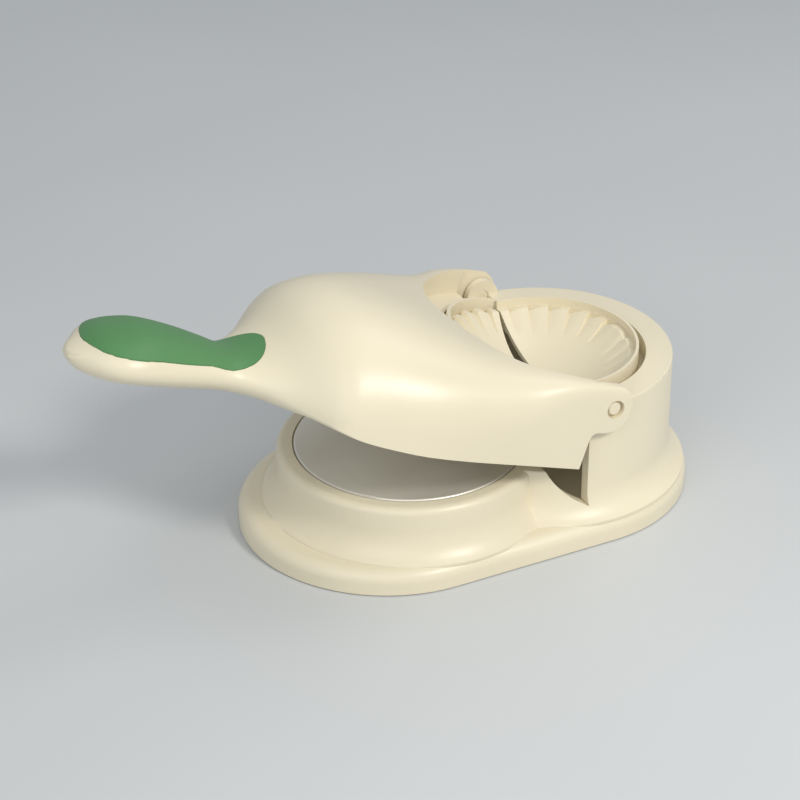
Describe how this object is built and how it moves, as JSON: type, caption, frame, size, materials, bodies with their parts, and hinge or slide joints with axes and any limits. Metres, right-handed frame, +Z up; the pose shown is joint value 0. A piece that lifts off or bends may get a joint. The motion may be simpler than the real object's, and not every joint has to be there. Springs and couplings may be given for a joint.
{
  "type": "empanada press",
  "caption": "Hand press for filled dough: a hinged lever flattens dough between two round press faces, and folds one toothed half-mould over the other.",
  "frame": {"origin": "centre of the base's footprint, on the table", "axes": "+X from the handle towards the tower, +Y to the far side of the picture, +Z up"},
  "size_m": [0.2569, 0.117, 0.1113],
  "materials": {
    "body_plastic": "satin",
    "grip_plastic": "satin",
    "press_steel": "satin",
    "screw_steel": "satin",
    "foot_rubber": "matte"
  },
  "bodies": {
    "base": {"base_shell": "body_plastic", "bottom_cover": "body_plastic", "foot_ring": "foot_rubber", "base_screws": "screw_steel", "press_plate": "press_steel", "plate_screws": "screw_steel", "rear_mould": "body_plastic", "rear_mould_screws": "screw_steel", "pivot_pin_near": "body_plastic", "pivot_pin_far": "body_plastic"},
    "lever": {"lever_shell": "body_plastic", "lever_liner": "body_plastic", "liner_screws": "screw_steel", "upper_press_disc": "press_steel", "disc_screws": "screw_steel", "front_mould": "body_plastic", "front_mould_screws": "screw_steel", "handle_cover": "body_plastic", "handle_screws": "screw_steel", "grip_inlay": "grip_plastic"}
  },
  "joints": [
    {"name": "lever_hinge", "type": "hinge", "parent": "base", "child": "lever", "pos_m": [0.0342, 0, 0.0574], "axis": [0, 1, 0], "range_deg": [-19.4, 160.6]}
  ]
}
